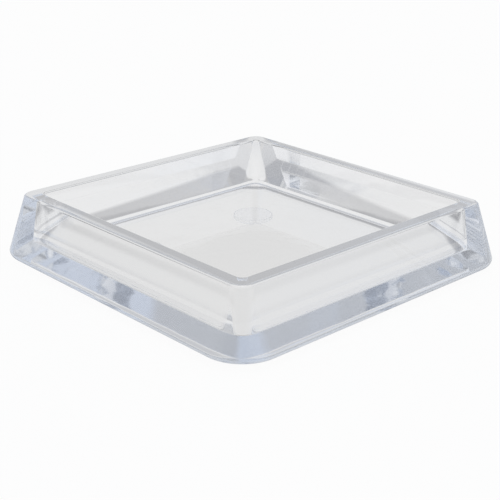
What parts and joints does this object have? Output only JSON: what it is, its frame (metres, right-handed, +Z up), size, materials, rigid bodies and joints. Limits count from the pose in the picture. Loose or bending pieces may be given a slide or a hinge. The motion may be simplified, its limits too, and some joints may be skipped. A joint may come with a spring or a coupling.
{
  "type": "furniture coaster",
  "caption": "Square clear furniture coaster: thick sloping walls round a recess for a leg or caster, a bonded floor plate and clear grip dots underneath.",
  "frame": {"origin": "middle of the square, on the plane that the grip dots rest on", "axes": "+Z up out of the recess, X and Y square to the four walls"},
  "size_m": [0.06, 0.06, 0.0112],
  "materials": {
    "clear_plastic": "clear polished moulding with a faint blue tint",
    "clear_silicone": "clear soft silicone, smooth"
  },
  "bodies": {
    "root": {"wall_frame": "clear_plastic", "floor_plate": "clear_plastic", "grip_dot_front": "clear_silicone", "grip_dot_right": "clear_silicone", "grip_dot_back": "clear_silicone", "grip_dot_left": "clear_silicone"}
  },
  "joints": []
}
